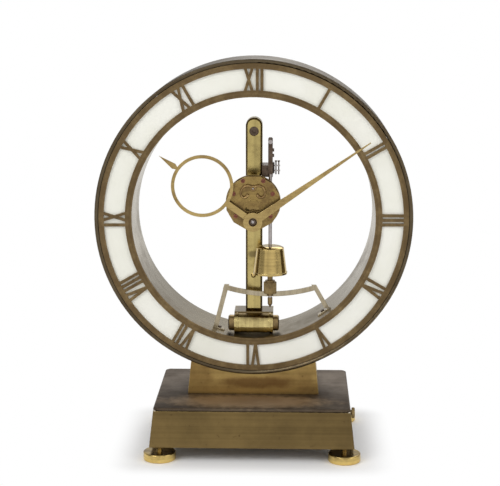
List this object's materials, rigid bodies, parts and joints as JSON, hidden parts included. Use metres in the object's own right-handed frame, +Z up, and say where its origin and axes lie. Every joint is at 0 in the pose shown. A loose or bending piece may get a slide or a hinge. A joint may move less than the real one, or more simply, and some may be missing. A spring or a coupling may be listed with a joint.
{
  "type": "pendulum table clock",
  "caption": "Ring-shaped skeleton table clock with pierced hour numerals, an open circle hour hand and an electrically impulsed pendulum, on a flared brass base with levelling feet.",
  "frame": {"origin": "on the table, under the middle of the base", "axes": "+X to the viewer's right, +Y to the back, +Z up"},
  "size_m": [0.25, 0.1302, 0.3088],
  "materials": {
    "bronze": "aged brown patina, softly polished",
    "bronze_fret": "aged brown patina, brushed",
    "inner_metal": "pale aged brass, satin",
    "milk_glass": "opal white, glossy",
    "base_brass": "brushed, aged",
    "dark_bronze": "dark brown patina",
    "polished_brass": "polished, slightly tarnished",
    "hand_brass": "satin gilt",
    "plate_brass": "satin, tarnished",
    "wheel_brass": "satin",
    "steel": "polished",
    "dark_steel": "blackened and browned",
    "insulation": "dark brown moulded",
    "copper_wire": "enamelled copper",
    "battery_jacket": "plain grey, matt"
  },
  "bodies": {
    "case": {"outer_band": "bronze", "inner_band": "inner_metal", "back_ring": "bronze", "glass_retainer": "bronze", "chapter_fret": "bronze_fret", "dial_glass": "milk_glass", "base_case": "base_brass", "base_lid": "dark_bronze", "bottom_cover": "base_brass", "tie_pillars": "wheel_brass", "bottom_screws": "dark_steel", "foot_bushes": "wheel_brass", "battery_cell": "battery_jacket", "battery_tray": "insulation", "battery_contacts": "wheel_brass", "switch_bush": "wheel_brass", "pedestal": "base_brass", "pedestal_bolts": "steel", "clock_post": "polished_brass", "post_screw": "dark_steel", "coil_housing": "polished_brass", "coil_bobbin": "insulation", "coil_winding": "copper_wire", "coil_core": "dark_steel", "swing_guard": "plate_brass", "guard_screws": "dark_steel", "suspension_cock": "dark_steel", "cock_screws": "dark_steel", "suspension_pin": "steel", "contact_block": "insulation", "contact_bars": "steel", "contact_screws": "dark_steel", "front_plate": "plate_brass", "back_plate": "plate_brass", "plate_pillars": "plate_brass", "plate_screws": "dark_steel", "movement_mounts": "polished_brass", "motion_stud": "steel"},
    "hour_hand": {"hour_hand": "hand_brass", "hour_wheel": "wheel_brass"},
    "minute_hand": {"minute_hand": "hand_brass", "minute_arbor": "steel", "cannon_pinion": "wheel_brass"},
    "motion_wheel": {"motion_wheel": "wheel_brass"},
    "centre_wheel": {"centre_wheel": "wheel_brass"},
    "intermediate_wheel": {"intermediate_wheel": "wheel_brass"},
    "count_wheel": {"count_wheel": "wheel_brass"},
    "rocker": {"rocker_horns": "plate_brass", "rocker_arbor": "steel", "crutch": "wheel_brass"},
    "pendulum": {"pendulum_head": "dark_steel", "pendulum_rod": "steel", "pendulum_tip": "dark_steel"},
    "bob": {"pendulum_bob": "polished_brass"},
    "rating_nut": {"rating_nut": "dark_steel"},
    "switch_knob": {"switch_knob": "polished_brass"},
    "front_left_foot": {"front_left_foot": "polished_brass"},
    "front_right_foot": {"front_right_foot": "polished_brass"},
    "rear_left_foot": {"rear_left_foot": "polished_brass"},
    "rear_right_foot": {"rear_right_foot": "polished_brass"}
  },
  "joints": [
    {"name": "minute_hand_turn", "type": "hinge", "parent": "case", "child": "minute_hand", "pos_m": [0, -0.024, 0.1838], "axis": [0, 1, 0], "continuous": true},
    {"name": "hour_hand_turn", "type": "hinge", "parent": "case", "child": "hour_hand", "pos_m": [0, -0.024, 0.1838], "axis": [0, 1, 0], "continuous": true},
    {"name": "motion_wheel_turn", "type": "hinge", "parent": "case", "child": "motion_wheel", "pos_m": [0, -0.0217, 0.1886], "axis": [0, 1, 0], "continuous": true},
    {"name": "count_wheel_turn", "type": "hinge", "parent": "case", "child": "count_wheel", "pos_m": [0, -0.018, 0.197], "axis": [0, 1, 0], "continuous": true},
    {"name": "intermediate_wheel_turn", "type": "hinge", "parent": "case", "child": "intermediate_wheel", "pos_m": [0.00313, -0.0174, 0.19052], "axis": [0, 1, 0], "continuous": true},
    {"name": "centre_wheel_turn", "type": "hinge", "parent": "case", "child": "centre_wheel", "pos_m": [0, -0.0163, 0.1838], "axis": [0, 1, 0], "continuous": true},
    {"name": "pendulum_swing", "type": "hinge", "parent": "case", "child": "pendulum", "pos_m": [0.0132, -0.01, 0.2447], "axis": [0, 1, 0], "range_deg": [-5, 5]},
    {"name": "rocker_rock", "type": "hinge", "parent": "case", "child": "rocker", "pos_m": [0, -0.018, 0.2094], "axis": [0, 1, 0], "range_deg": [-13, 13]},
    {"name": "rating_nut_turn", "type": "hinge", "parent": "bob", "child": "rating_nut", "pos_m": [0.0132, -0.01, 0.1288], "axis": [0, 0, 1], "range_deg": [-725, 725]},
    {"name": "bob_slide", "type": "slide", "parent": "pendulum", "child": "bob", "axis": [0, 0, 1], "range_m": [-0.0014, 0.0014]},
    {"name": "switch_turn", "type": "hinge", "parent": "case", "child": "switch_knob", "pos_m": [0.0775, -0.048, 0.0375], "axis": [1, 0, 0], "range_deg": [0, 90]},
    {"name": "front_left_foot_turn", "type": "hinge", "parent": "case", "child": "front_left_foot", "pos_m": [-0.07208, -0.05239, 0.0025], "axis": [0, 0, 1], "range_deg": [-720, 720]},
    {"name": "front_right_foot_turn", "type": "hinge", "parent": "case", "child": "front_right_foot", "pos_m": [0.07208, -0.05239, 0.0025], "axis": [0, 0, 1], "range_deg": [-720, 720]},
    {"name": "rear_left_foot_turn", "type": "hinge", "parent": "case", "child": "rear_left_foot", "pos_m": [-0.07208, 0.05239, 0.0025], "axis": [0, 0, 1], "range_deg": [-720, 720]},
    {"name": "rear_right_foot_turn", "type": "hinge", "parent": "case", "child": "rear_right_foot", "pos_m": [0.07208, 0.05239, 0.0025], "axis": [0, 0, 1], "range_deg": [-720, 720]}
  ],
  "couplings": [
    {"joint": "hour_hand_turn", "follows": "minute_hand_turn", "ratio": 0.083333},
    {"joint": "motion_wheel_turn", "follows": "minute_hand_turn", "ratio": -0.33333},
    {"joint": "intermediate_wheel_turn", "follows": "count_wheel_turn", "ratio": -0.125},
    {"joint": "centre_wheel_turn", "follows": "count_wheel_turn", "ratio": 0.010417},
    {"joint": "rocker_rock", "follows": "pendulum_swing", "ratio": 2.4958},
    {"joint": "rating_nut_turn", "follows": "bob_slide", "rad_per_m": 8976}
  ]
}
